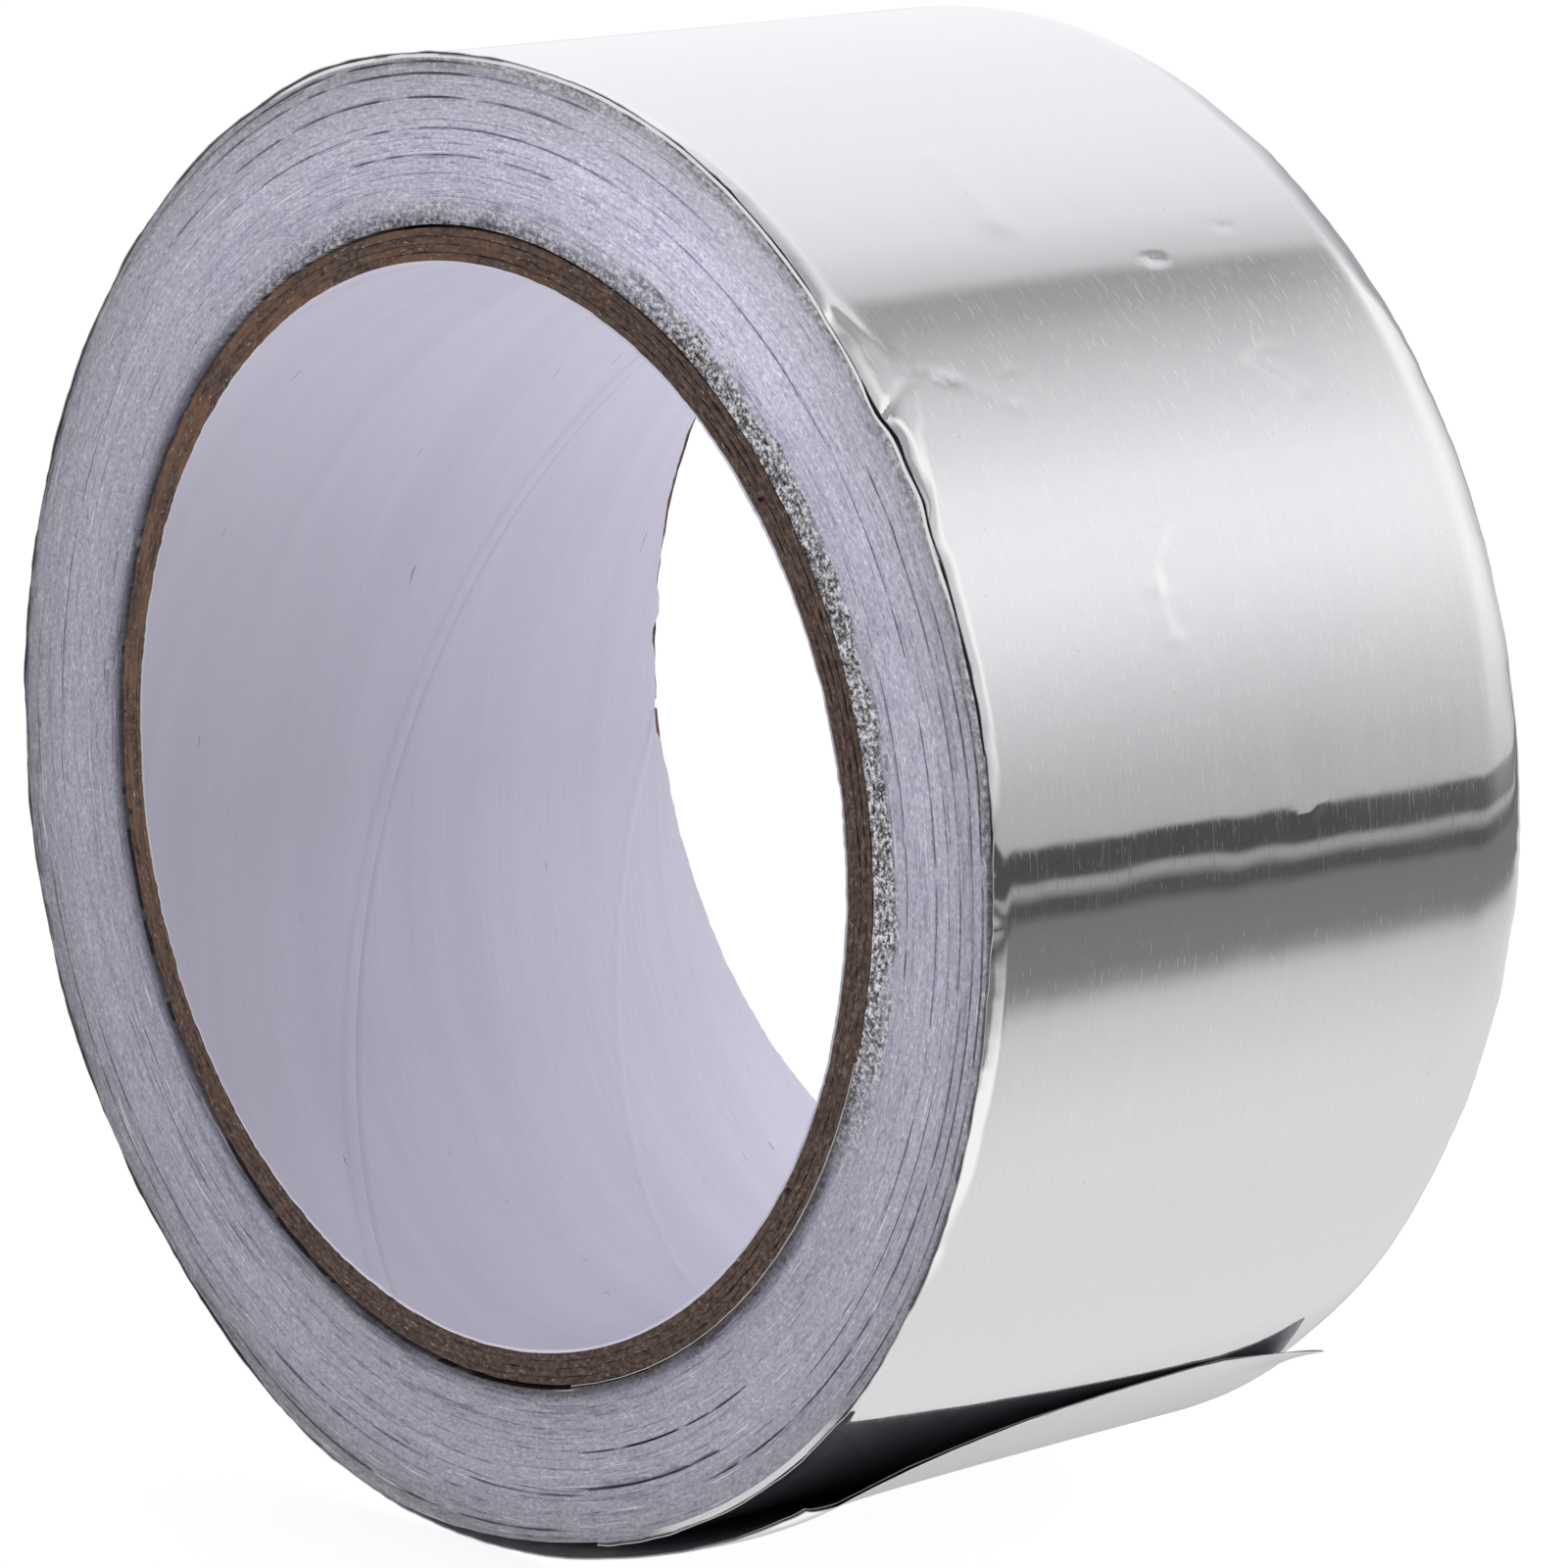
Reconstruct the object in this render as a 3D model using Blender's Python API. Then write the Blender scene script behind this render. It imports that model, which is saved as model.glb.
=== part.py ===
"""Roll of aluminium foil duct tape on a spiral-wound board core, standing on its rim.

The roll's axis runs along Y. Angles are in degrees about that axis, from +X towards +Z, and the
tape is wound outwards with a growing angle. The frame's origin is on the surface under the roll.
"""
from math import cos, radians, sin

import bmesh
import bpy
from mathutils import Vector

# Driving dimensions, in metres.
TAPE_WIDTH = 0.050
CORE_BORE_RADIUS = 0.0381
CORE_OUTER_RADIUS = 0.0406
PACK_INNER_RADIUS = 0.04072
PACK_OUTER_RADIUS = 0.0517

# The web: foil outside, adhesive in the middle, release liner inside.
FOIL_THICKNESS = 0.00004
ADHESIVE_THICKNESS = 0.000035
LINER_THICKNESS = 0.00006
LAYER_GAP = 0.00002
WEB_PITCH = FOIL_THICKNESS + ADHESIVE_THICKNESS + LINER_THICKNESS + 2 * LAYER_GAP

# The core: a white paper lining and four board plies, each a helical strip with a butt seam.
LINING_THICKNESS = 0.00020
PLY_COUNT = 4
PLY_GAP = 0.00005
SEAM_WIDTH = 0.0003
SEAM_LEAD = 0.128
LINING_SEAM_ANGLE = -106.0
PLY_SEAM_STAGGER = 74.0

# The wound turns, in three groups that a slight looseness separates.
GROUP_NAMES = ("inner", "middle", "outer")
GROUP_GAP = 0.00008

# The adhesive patch that holds the first turn on the core.
START_ADHESIVE_THICKNESS = 0.00005
START_ADHESIVE_ARC = 60.0

# The last turn lies loosely on the roll and leaves it at the lift line, near the bottom.
STEP = 4.0
LIFT_ANGLE = -76.0
TURN_START_RADIUS = 0.0519
TURN_LOOSENESS = 0.0011
LOOSENESS_POWER = 1.2
LIFT_GAP = 0.0001

# The free end stands further off the roll at its near corner than at its far one.
END_ARC = 25.6
END_STEPS = 12
END_COLUMNS = 4
NEAR_LIFT = 0.0023
FAR_LIFT = 0.0002
LIFT_POWER = 1.35
LINER_SAG = 0.00045
LINER_SAG_POWER = 2.0

SEGMENTS = round(360.0 / STEP)
NEAR_FACE = -TAPE_WIDTH / 2
SHARP_ANGLE = radians(30.0)

MATERIALS = {
    "core_lining": ((0.76, 0.75, 0.80), 0.75, 0.0),
    "core_board": ((0.20, 0.12, 0.09), 0.90, 0.0),
    "wound_edge": ((0.52, 0.51, 0.58), 0.45, 0.3),
    "foil": ((0.90, 0.91, 0.91), 0.22, 1.0),
    "adhesive": ((0.80, 0.78, 0.70), 0.35, 0.0),
    "release_liner": ((0.82, 0.80, 0.88), 0.50, 0.0),
}


def clear_scene():
    for old in list(bpy.data.objects):
        bpy.data.objects.remove(old, do_unlink=True)


def material(name):
    """A Principled material of the given name, made once."""
    if name in bpy.data.materials:
        return bpy.data.materials[name]
    colour, roughness, metallic = MATERIALS[name]
    made = bpy.data.materials.new(name)
    made.use_nodes = True
    shader = made.node_tree.nodes["Principled BSDF"]
    shader.inputs["Base Color"].default_value = (*colour, 1.0)
    shader.inputs["Roughness"].default_value = roughness
    shader.inputs["Metallic"].default_value = metallic
    return made


def turn_radius(angle):
    """Foil radius of the last turn: it starts tight and stands off more and more to the lift line."""
    wound = (angle - LIFT_ANGLE) / 360.0
    return TURN_START_RADIUS + TURN_LOOSENESS * wound ** LOOSENESS_POWER


def roll_axis():
    """Where the axis stands, so that the roll is centred in X and rests on Z = 0."""
    rim = []
    for index in range(SEGMENTS + 1):
        angle = LIFT_ANGLE + STEP * index
        rim.append((turn_radius(angle) * cos(radians(angle)), turn_radius(angle) * sin(radians(angle))))
    across = [x for x, _ in rim]
    lowest = min(z for _, z in rim)
    return Vector((-(max(across) + min(across)) / 2, 0.0, -lowest))


AXIS = roll_axis()


def at(radius, angle, y):
    """World point at a radius and an angle about the roll's axis."""
    return AXIS + Vector((radius * cos(radians(angle)), y, radius * sin(radians(angle))))


def add_object(name, bm, material_name, origin=AXIS):
    """Turn a bmesh in world coordinates into an object whose origin is the given point."""
    bmesh.ops.recalc_face_normals(bm, faces=bm.faces)
    bmesh.ops.translate(bm, verts=bm.verts, vec=-origin)
    mesh = bpy.data.meshes.new(name)
    bm.to_mesh(mesh)
    bm.free()
    mesh.shade_smooth()
    mesh.set_sharp_from_angle(angle=SHARP_ANGLE)
    mesh.materials.append(material(material_name))
    made = bpy.data.objects.new(name, mesh)
    made.location = origin
    bpy.context.scene.collection.objects.link(made)
    return made


def extrude_section(bm, faces):
    """Draw a flat section on the near side face out to the full width of the tape."""
    grown = bmesh.ops.extrude_face_region(bm, geom=faces)
    moved = [item for item in grown["geom"] if isinstance(item, bmesh.types.BMVert)]
    bmesh.ops.translate(bm, verts=moved, vec=(0.0, TAPE_WIDTH, 0.0))


def add_tube(name, inner, outer, material_name):
    """A plain tube between two radii."""
    bm = bmesh.new()
    angles = [LIFT_ANGLE + STEP * index for index in range(SEGMENTS)]
    inside = [bm.verts.new(at(inner, angle, NEAR_FACE)) for angle in angles]
    outside = [bm.verts.new(at(outer, angle, NEAR_FACE)) for angle in angles]
    faces = []
    for here in range(SEGMENTS):
        ahead = (here + 1) % SEGMENTS
        faces.append(bm.faces.new((inside[here], outside[here], outside[ahead], inside[ahead])))
    extrude_section(bm, faces)
    return add_object(name, bm, material_name)


def add_strip(name, inner, outer, start, end, steps, material_name):
    """An arc of one layer with two cut ends; inner and outer give the radius at an angle."""
    bm = bmesh.new()
    angles = [start + (end - start) * index / steps for index in range(steps + 1)]
    inside = [bm.verts.new(at(inner(angle), angle, NEAR_FACE)) for angle in angles]
    outside = [bm.verts.new(at(outer(angle), angle, NEAR_FACE)) for angle in angles]
    faces = []
    for here in range(steps):
        faces.append(bm.faces.new((inside[here], outside[here], outside[here + 1], inside[here + 1])))
    extrude_section(bm, faces)
    return add_object(name, bm, material_name)


def add_spiral_group(name, inner, outer, material_name):
    """Many turns as one solid: both faces climb by one web in a turn and step down at the lift line."""
    bm = bmesh.new()
    inside = []
    outside = []
    for index in range(SEGMENTS + 1):
        climb = WEB_PITCH * index / SEGMENTS
        angle = LIFT_ANGLE + STEP * index
        inside.append(bm.verts.new(at(inner + climb, angle, NEAR_FACE)))
        outside.append(bm.verts.new(at(outer + climb, angle, NEAR_FACE)))
    faces = [bm.faces.new((inside[0], inside[-1], outside[0], outside[1], inside[1]))]
    for here in range(1, SEGMENTS - 1):
        faces.append(bm.faces.new((inside[here], outside[here], outside[here + 1], inside[here + 1])))
    faces.append(bm.faces.new((inside[-2], outside[-2], outside[-1], outside[0], inside[-1])))
    extrude_section(bm, faces)
    return add_object(name, bm, material_name)


def helical_cutter(name, inner, outer, seam_angle):
    """A thin twisted ribbon that cuts one ply's seam; the angle is the seam's on the near face."""
    margin = 0.002
    length = TAPE_WIDTH + 2 * margin
    steps = 24
    bm = bmesh.new()
    rings = []
    for index in range(steps + 1):
        y = NEAR_FACE - margin + length * index / steps
        middle = seam_angle - 360.0 * (y - NEAR_FACE) / SEAM_LEAD
        half = SEAM_WIDTH / (2 * radians(1.0) * outer)
        corners = ((inner, -half), (outer, -half), (outer, half), (inner, half))
        rings.append([bm.verts.new(at(radius, middle + side, y)) for radius, side in corners])
    for ring, following in zip(rings, rings[1:]):
        for here in range(4):
            ahead = (here + 1) % 4
            bm.faces.new((ring[here], ring[ahead], following[ahead], following[here]))
    bm.faces.new(rings[0])
    bm.faces.new(rings[-1])
    cutter = add_object(name, bm, "core_board")
    cutter.hide_render = True
    cutter.display_type = "WIRE"
    return cutter


def add_ply(name, inner, outer, seam_angle, material_name):
    """One spirally wound ply of the core, open along its helical butt seam."""
    ply = add_tube(name, inner, outer, material_name)
    reach = 0.001
    cutter = helical_cutter(name + "_seam", inner - reach, outer + reach, seam_angle)
    cut = ply.modifiers.new("seam", "BOOLEAN")
    cut.operation = "DIFFERENCE"
    cut.solver = "EXACT"
    cut.object = cutter
    return ply


def add_core():
    """The paper lining inside four board plies, their seams staggered round the core."""
    lining_outer = CORE_BORE_RADIUS + LINING_THICKNESS
    add_ply("core_lining_paper", CORE_BORE_RADIUS, lining_outer, LINING_SEAM_ANGLE, "core_lining")
    pitch = (CORE_OUTER_RADIUS - lining_outer) / PLY_COUNT
    for number in range(1, PLY_COUNT + 1):
        inner = lining_outer + pitch * (number - 1) + PLY_GAP
        outer = lining_outer + pitch * number
        seam = LINING_SEAM_ANGLE + PLY_SEAM_STAGGER * number
        add_ply(f"core_ply_{number}", inner, outer, seam, "core_board")


def add_wound_turns():
    """The adhesive patch on the core, and the wound turns in groups of equal depth."""
    base = CORE_OUTER_RADIUS + LAYER_GAP
    top = base + START_ADHESIVE_THICKNESS
    steps = round(START_ADHESIVE_ARC / STEP)
    end = LIFT_ANGLE + START_ADHESIVE_ARC
    add_strip("start_adhesive", lambda _: base, lambda _: top, LIFT_ANGLE, end, steps, "adhesive")
    depth = (PACK_OUTER_RADIUS - PACK_INNER_RADIUS) / len(GROUP_NAMES)
    for number, group in enumerate(GROUP_NAMES):
        inner = PACK_INNER_RADIUS + depth * number
        outer = inner + depth
        if number < len(GROUP_NAMES) - 1:
            outer -= GROUP_GAP
        add_spiral_group(f"wound_turns_{group}", inner, outer, "wound_edge")


# Each layer of the web: its name, its outer face's depth below the foil's face, its thickness.
ADHESIVE_DEPTH = FOIL_THICKNESS + LAYER_GAP
LINER_DEPTH = ADHESIVE_DEPTH + ADHESIVE_THICKNESS + LAYER_GAP
LAYERS = (
    ("foil", 0.0, FOIL_THICKNESS),
    ("adhesive", ADHESIVE_DEPTH, ADHESIVE_THICKNESS),
    ("release_liner", LINER_DEPTH, LINER_THICKNESS),
)


def add_last_turn():
    """The last full turn, layer by layer, from under the free end round to the lift line."""
    gap_angle = LIFT_GAP / (radians(1.0) * turn_radius(LIFT_ANGLE + 360.0))
    start = LIFT_ANGLE + gap_angle
    end = LIFT_ANGLE + 360.0 - gap_angle
    for layer, depth, thickness in LAYERS:
        def outer(angle, depth=depth):
            return turn_radius(angle) - depth

        def inner(angle, depth=depth, thickness=thickness):
            return turn_radius(angle) - depth - thickness

        add_strip(f"last_turn_{layer}", inner, outer, start, end, SEGMENTS, layer)


def end_radius(along, across, sag):
    """Foil radius on the free end; along runs from the lift line to the cut, across from the near edge."""
    lift = NEAR_LIFT + (FAR_LIFT - NEAR_LIFT) * across
    standing_off = lift * along ** LIFT_POWER
    return turn_radius(LIFT_ANGLE + 360.0) + standing_off - sag * along ** LINER_SAG_POWER


def add_end_layer(name, depth, thickness, sag, material_name):
    """One layer of the free end: a curved sheet that twists, with its origin on the lift line."""
    bm = bmesh.new()
    sides = []
    for below in (depth, depth + thickness):
        grid = []
        for row in range(END_STEPS + 1):
            along = row / END_STEPS
            angle = LIFT_ANGLE + END_ARC * along
            line = []
            for column in range(END_COLUMNS + 1):
                across = column / END_COLUMNS
                radius = end_radius(along, across, sag) - below
                line.append(bm.verts.new(at(radius, angle, NEAR_FACE + TAPE_WIDTH * across)))
            grid.append(line)
        for row in range(END_STEPS):
            for column in range(END_COLUMNS):
                a, b = grid[row][column], grid[row][column + 1]
                c, d = grid[row + 1][column + 1], grid[row + 1][column]
                bm.faces.new((a, b, c))
                bm.faces.new((a, c, d))
        sides.append(grid)
    top, bottom = sides
    rim = []
    for grid in (top, bottom):
        near = [line[0] for line in grid]
        far = [line[-1] for line in grid]
        rim.append(near + grid[-1][1:-1] + far[::-1] + grid[0][-2:0:-1])
    for here in range(len(rim[0])):
        ahead = (here + 1) % len(rim[0])
        bm.faces.new((rim[0][here], rim[0][ahead], rim[1][ahead], rim[1][here]))
    return add_object(name, bm, material_name, origin=at(turn_radius(LIFT_ANGLE + 360.0), LIFT_ANGLE, 0.0))


def add_tape_end():
    """The free end's three layers; the release liner sags away from the adhesive at the cut."""
    for layer, depth, thickness in LAYERS:
        sag = LINER_SAG if layer == "release_liner" else 0.0
        add_end_layer(f"tape_end_{layer}", depth, thickness, sag, layer)


clear_scene()
add_core()
add_wound_turns()
add_last_turn()
add_tape_end()
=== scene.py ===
import math

import bpy
import numpy as np
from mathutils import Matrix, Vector

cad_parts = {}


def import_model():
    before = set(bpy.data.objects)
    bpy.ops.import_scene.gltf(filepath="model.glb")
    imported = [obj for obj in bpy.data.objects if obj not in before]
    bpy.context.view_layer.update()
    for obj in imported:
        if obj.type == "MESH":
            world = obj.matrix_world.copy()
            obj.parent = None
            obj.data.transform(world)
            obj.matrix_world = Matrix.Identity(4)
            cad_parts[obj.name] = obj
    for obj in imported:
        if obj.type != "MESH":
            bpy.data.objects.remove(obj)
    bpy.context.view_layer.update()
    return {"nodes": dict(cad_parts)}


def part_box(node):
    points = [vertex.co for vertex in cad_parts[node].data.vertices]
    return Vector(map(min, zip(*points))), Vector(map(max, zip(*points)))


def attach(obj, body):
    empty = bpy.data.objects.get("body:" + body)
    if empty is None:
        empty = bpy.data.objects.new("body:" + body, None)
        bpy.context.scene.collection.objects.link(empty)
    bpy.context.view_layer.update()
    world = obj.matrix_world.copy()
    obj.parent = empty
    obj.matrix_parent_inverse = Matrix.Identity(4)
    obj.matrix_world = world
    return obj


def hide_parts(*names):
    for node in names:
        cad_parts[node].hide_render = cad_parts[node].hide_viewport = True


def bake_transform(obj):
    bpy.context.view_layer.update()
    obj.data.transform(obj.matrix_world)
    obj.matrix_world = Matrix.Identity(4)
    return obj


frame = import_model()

MM = 0.001

# ---------------------------------------------------------------- the frame
CORE_LOW, CORE_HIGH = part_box("core_ply_1")
AXIS_X = (CORE_LOW[0] + CORE_HIGH[0]) / 2
AXIS_Z = (CORE_LOW[2] + CORE_HIGH[2]) / 2
HALF_WIDTH = (CORE_HIGH[1] - CORE_LOW[1]) / 2 / MM

# ---------------------------------------------------------------- sizes, in millimetres and degrees
BORE_RADIUS = 38.1
LINING_THICKNESS = 0.2
PACK_RADII = (40.74, 44.367, 48.053, 51.7)
TURNS_PER_GROUP = 21
LIFT_ANGLE = -76.0
LAST_TURN_END = LIFT_ANGLE + 360.0
END_ARC = 25.6
FREE_END = LAST_TURN_END + END_ARC
BACK_JOIN = 106.0
BLEND_JOIN = 250.0
FOIL = 0.04
ADHESIVE = 0.035
LINER = 0.06
LAYER_GAP = 0.001
# The core's helical seams: the advance along the axis in a turn, the angle where the lining's
# seam starts on the near face, and the angle from ply to ply.
SEAM_LEAD = 128.0
SEAM_ANGLE = -107.2
PLY_SEAM_STEP = 74.0
# Mean radii that turn an angle into a length: of the foil, of the wound turns and of the board.
FOIL_REACH = 52.0
FOIL_RADIUS = 52.3
TURNS_REACH = 46.0
BOARD_REACH = 39.0
BOARD_RADIUS = 39.5
# Noise tables: the number of knots.
KNOTS = 4096
PLANE_KNOTS = 512


# ---------------------------------------------------------------- numbers
def wander(x, seed, knots=KNOTS):
    """Smooth random values from -1 to 1 along x, with a knot at each whole number."""
    table = np.random.default_rng(seed).uniform(-1, 1, knots)
    cell = np.floor(x).astype(int)
    t = x - cell
    t = t * t * (3 - 2 * t)
    return table[cell % knots] * (1 - t) + table[(cell + 1) % knots] * t


def wander2(x, y, seed):
    """Smooth random values from -1 to 1 over a plane."""
    table = np.random.default_rng(seed).uniform(-1, 1, (PLANE_KNOTS, PLANE_KNOTS))
    cx, cy = np.floor(x).astype(int), np.floor(y).astype(int)
    tx, ty = x - cx, y - cy
    tx, ty = tx * tx * (3 - 2 * tx), ty * ty * (3 - 2 * ty)
    x0, x1 = cx % PLANE_KNOTS, (cx + 1) % PLANE_KNOTS
    y0, y1 = cy % PLANE_KNOTS, (cy + 1) % PLANE_KNOTS
    low = table[x0, y0] * (1 - tx) + table[x1, y0] * tx
    high = table[x0, y1] * (1 - tx) + table[x1, y1] * tx
    return low * (1 - ty) + high * ty


def smooth_table(x, places, values):
    """A smooth curve through a table of values."""
    places, values = np.asarray(places, float), np.asarray(values, float)
    slopes = np.gradient(values, places)
    x = np.clip(x, places[0], places[-1])
    i = np.clip(np.searchsorted(places, x, side="right") - 1, 0, len(places) - 2)
    step = places[i + 1] - places[i]
    t = (x - places[i]) / step
    rise = values[i + 1] - values[i]
    start, end = slopes[i] * step - rise, slopes[i + 1] * step - rise
    return values[i] + t * rise + t * (1 - t) * ((1 - t) * start - t * end)


def window(x, start, end, soft):
    """1 between start and end, falling to 0 over soft on either side."""
    up = np.clip((x - start) / soft + 0.5, 0, 1)
    down = np.clip((end - x) / soft + 0.5, 0, 1)
    return up * up * (3 - 2 * up) * down * down * (3 - 2 * down)


def polar(radius, angle, y):
    """Points in metres, from a radius, an angle and a place along the axis."""
    a = np.radians(angle)
    radius, a, y = np.broadcast_arrays(radius, a, y)
    x = AXIS_X + radius * np.cos(a) * MM
    z = AXIS_Z + radius * np.sin(a) * MM
    return np.stack([x, y * MM, z], axis=-1)


# ---------------------------------------------------------------- meshes
# Angles past which an edge is sharp, in degrees: of the thin sheets, the wound turns and the plies.
SHEET_SHARP = 50
TURNS_SHARP = 75
PLY_SHARP = 60


def grid_faces(rows, cols, wrap_rows=False, wrap_cols=False, first=0):
    """Quads between the points of a grid, counted from first, and closed round either way."""
    r = np.arange(rows if wrap_rows else rows - 1)
    c = np.arange(cols if wrap_cols else cols - 1)
    r, c = np.meshgrid(r, c, indexing="ij")
    r2, c2 = (r + 1) % rows, (c + 1) % cols
    quads = np.stack([r * cols + c, r * cols + c2, r2 * cols + c2, r2 * cols + c], axis=-1)
    return quads.reshape(-1, 4) + first


def add_piece(name, points, faces, material, nodes, sharp):
    """A piece from vertices and quads, its faces turned outwards and its edges sharp past an angle."""
    points = points.reshape(-1, 3)
    a, b, c, d = (points[faces[:, i]] for i in range(4))
    volume = np.einsum("ij,ij->i", a, np.cross(b, c) + np.cross(c, d)).sum()
    if volume < 0:
        faces = faces[:, ::-1]
    mesh = bpy.data.meshes.new(name)
    mesh.from_pydata(points.tolist(), [], faces.tolist())
    mesh.polygons.foreach_set("use_smooth", np.ones(len(faces), bool))
    mesh.materials.append(material)
    piece = bpy.data.objects.new(name, mesh)
    bpy.context.scene.collection.objects.link(piece)
    mesh.set_sharp_from_angle(angle=math.radians(sharp))
    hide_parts(*nodes)
    return piece


def sheet(name, top, bottom, material, nodes):
    """A thin closed sheet between two grids of points."""
    rows, cols = top.shape[:2]
    count = rows * cols
    index = np.arange(count).reshape(rows, cols)
    edge = np.concatenate([index[0, :], index[1:, -1], index[-1, -2::-1], index[-2:0:-1, 0]])
    after = np.roll(edge, -1)
    rim = np.stack([after, edge, edge + count, after + count], axis=-1)
    upper = grid_faces(rows, cols)
    lower = grid_faces(rows, cols, first=count)[:, ::-1]
    points = np.concatenate([top.reshape(-1, 3), bottom.reshape(-1, 3)])
    return add_piece(name, points, np.concatenate([upper, lower, rim]), material, nodes, SHEET_SHARP)


# ---------------------------------------------------------------- node helpers
def node(tree, kind, values=None, links=None, **settings):
    """A shader node with its settings, fixed inputs and linked inputs."""
    made = tree.nodes.new("ShaderNode" + kind)
    for key, value in settings.items():
        setattr(made, key, value)
    for key, value in (values or {}).items():
        made.inputs[key].default_value = value
    for key, source in (links or {}).items():
        tree.links.new(source, made.inputs[key])
    return made


def math_node(tree, operation, a, b=None, c=None):
    """A sum on numbers or sockets."""
    made = node(tree, "Math", operation=operation)
    for i, value in enumerate((a, b, c)):
        if value is None:
            continue
        if isinstance(value, (int, float)):
            made.inputs[i].default_value = value
        else:
            tree.links.new(value, made.inputs[i])
    return made.outputs[0]


def mix(tree, factor, a, b, blend_type="MIX"):
    """A colour mixed from two colours or sockets."""
    made = node(tree, "Mix", data_type="RGBA", blend_type=blend_type)
    for i, value in ((0, factor), (6, a), (7, b)):
        if isinstance(value, bpy.types.NodeSocket):
            tree.links.new(value, made.inputs[i])
        elif i == 0:
            made.inputs[i].default_value = value
        else:
            made.inputs[i].default_value = (*value, 1)
    return made.outputs[2]


def ramp(tree, factor, stops):
    """A colour ramp through stops of a place from 0 to 1 and a colour or a grey."""
    made = node(tree, "ValToRGB", links={0: factor})
    elements = made.color_ramp.elements
    while len(elements) < len(stops):
        elements.new(0.5)
    for element, (place, colour) in zip(elements, stops):
        element.position = place
        value = (colour,) * 3 if isinstance(colour, (int, float)) else colour
        element.color = (*value, 1)
    return made.outputs[0]


def spread(tree, value, low, high, to_low=0.0, to_high=1.0):
    """value from low..high to to_low..to_high, clamped."""
    made = node(tree, "MapRange", {1: low, 2: high, 3: to_low, 4: to_high}, {0: value}, clamp=True)
    return made.outputs[0]


class Around:
    """Coordinates about the roll's axis for a material: radius, direction and place along the axis."""

    def __init__(self, tree):
        self.tree = tree
        place = node(tree, "TexCoord").outputs["Object"]
        centre = node(tree, "VectorMath", {1: (AXIS_X, 0, AXIS_Z)}, {0: place}, operation="SUBTRACT")
        flat = node(tree, "VectorMath", {1: (1, 0, 1)}, {0: centre.outputs[0]}, operation="MULTIPLY")
        size = node(tree, "VectorMath", links={0: flat.outputs[0]}, operation="LENGTH")
        unit = node(tree, "VectorMath", links={0: flat.outputs[0]}, operation="NORMALIZE")
        parts = node(tree, "SeparateXYZ", links={0: unit.outputs[0]})
        self.cos, self.sin = parts.outputs[0], parts.outputs[2]
        self.radius = times(tree, size.outputs["Value"], 1 / MM)
        self.y = times(tree, node(tree, "SeparateXYZ", links={0: place}).outputs[1], 1 / MM)

    def vector(self, along, across, by, reach):
        """A noise vector whose cells are along mm round the axis and across mm the other way."""
        tree = self.tree
        other = self.radius if by == "radius" else self.y
        made = node(tree, "CombineXYZ")
        for i, (source, scale) in enumerate(
            ((self.cos, reach / along), (other, 1 / across), (self.sin, reach / along))
        ):
            tree.links.new(times(tree, source, scale), made.inputs[i])
        return made.outputs[0]

    def noise(self, along, across, by="radius", detail=2.0, reach=TURNS_REACH, rough=0.5):
        """Noise that is stretched round the axis, across the radius or along y."""
        made = node(
            self.tree,
            "TexNoise",
            {"Scale": 1.0, "Detail": detail, "Roughness": rough},
            {"Vector": self.vector(along, across, by, reach)},
        )
        return made.outputs[0]

    def facing(self, angle, start, end):
        """0 to 1 as a direction comes within start to end (cosines) of an angle."""
        tree = self.tree
        a = math.radians(angle)
        x = times(tree, self.cos, math.cos(a))
        both = math_node(tree, "MULTIPLY_ADD", self.sin, math.sin(a), x)
        return spread(tree, both, start, end)


def paper_noise(tree, place, scale, detail, rough=0.5):
    """Noise over flat coordinates in millimetres."""
    values = {"Scale": scale, "Detail": detail, "Roughness": rough}
    return node(tree, "TexNoise", values, {"Vector": place}).outputs[0]


def times(tree, a, b):
    """The product of two numbers or sockets."""
    return math_node(tree, "MULTIPLY", a, b)


def material(name):
    """A new node material with its tree and its shader."""
    made = bpy.data.materials.new(name)
    made.use_nodes = True
    tree = made.node_tree
    shader = tree.nodes["Principled BSDF"]
    return made, tree, shader


def set_bump(tree, shader, height, distance):
    """Relief on a shader's surface, from a height and its distance in metres."""
    bump = node(tree, "Bump", {"Strength": 1.0, "Distance": distance}, {"Height": height})
    tree.links.new(bump.outputs[0], shader.inputs["Normal"])


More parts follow.
